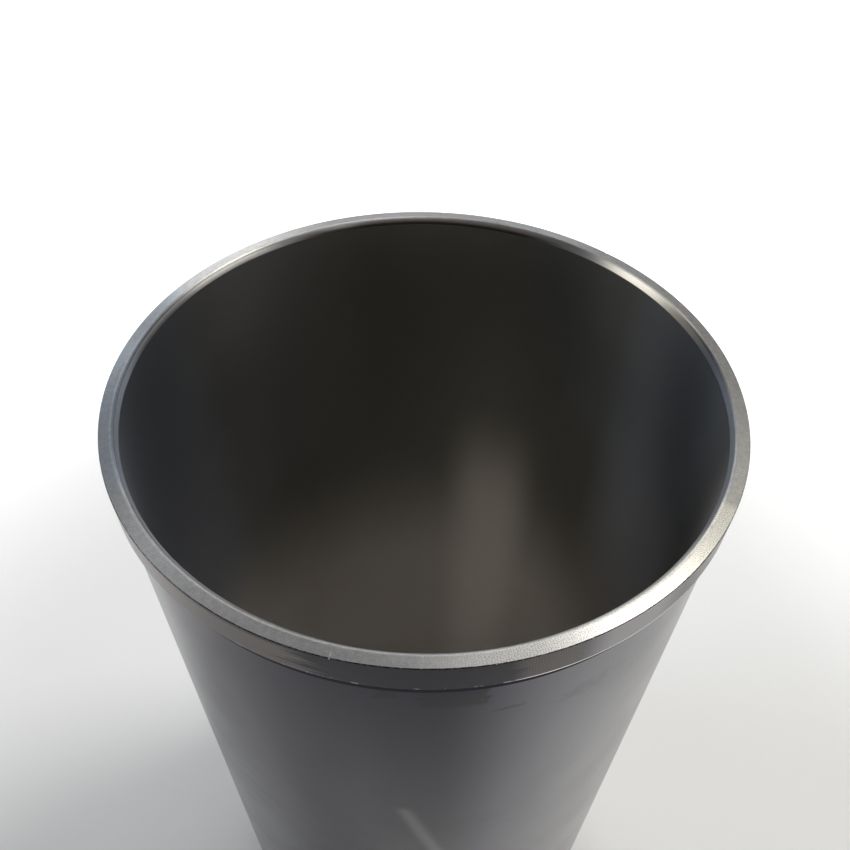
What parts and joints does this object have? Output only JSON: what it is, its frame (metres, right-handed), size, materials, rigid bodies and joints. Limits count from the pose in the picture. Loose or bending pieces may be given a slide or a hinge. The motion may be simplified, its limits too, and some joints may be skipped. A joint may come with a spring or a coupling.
{
  "type": "cylinder liner",
  "caption": "Thin-walled flanged cylinder liner for a piston engine: a straight honed bore, a narrow flange at the top and a ground outside for a press fit.",
  "frame": {"origin": "centre of the foot's face, on the bore's axis", "axes": "+Z along the bore, from the foot up to the flange"},
  "size_m": [0.1076, 0.1076, 0.2],
  "materials": {
    "liner_iron": "dark ground outside, honed bore, bright face-turned flange"
  },
  "bodies": {
    "root": {"cylinder_liner": "liner_iron"}
  },
  "joints": []
}
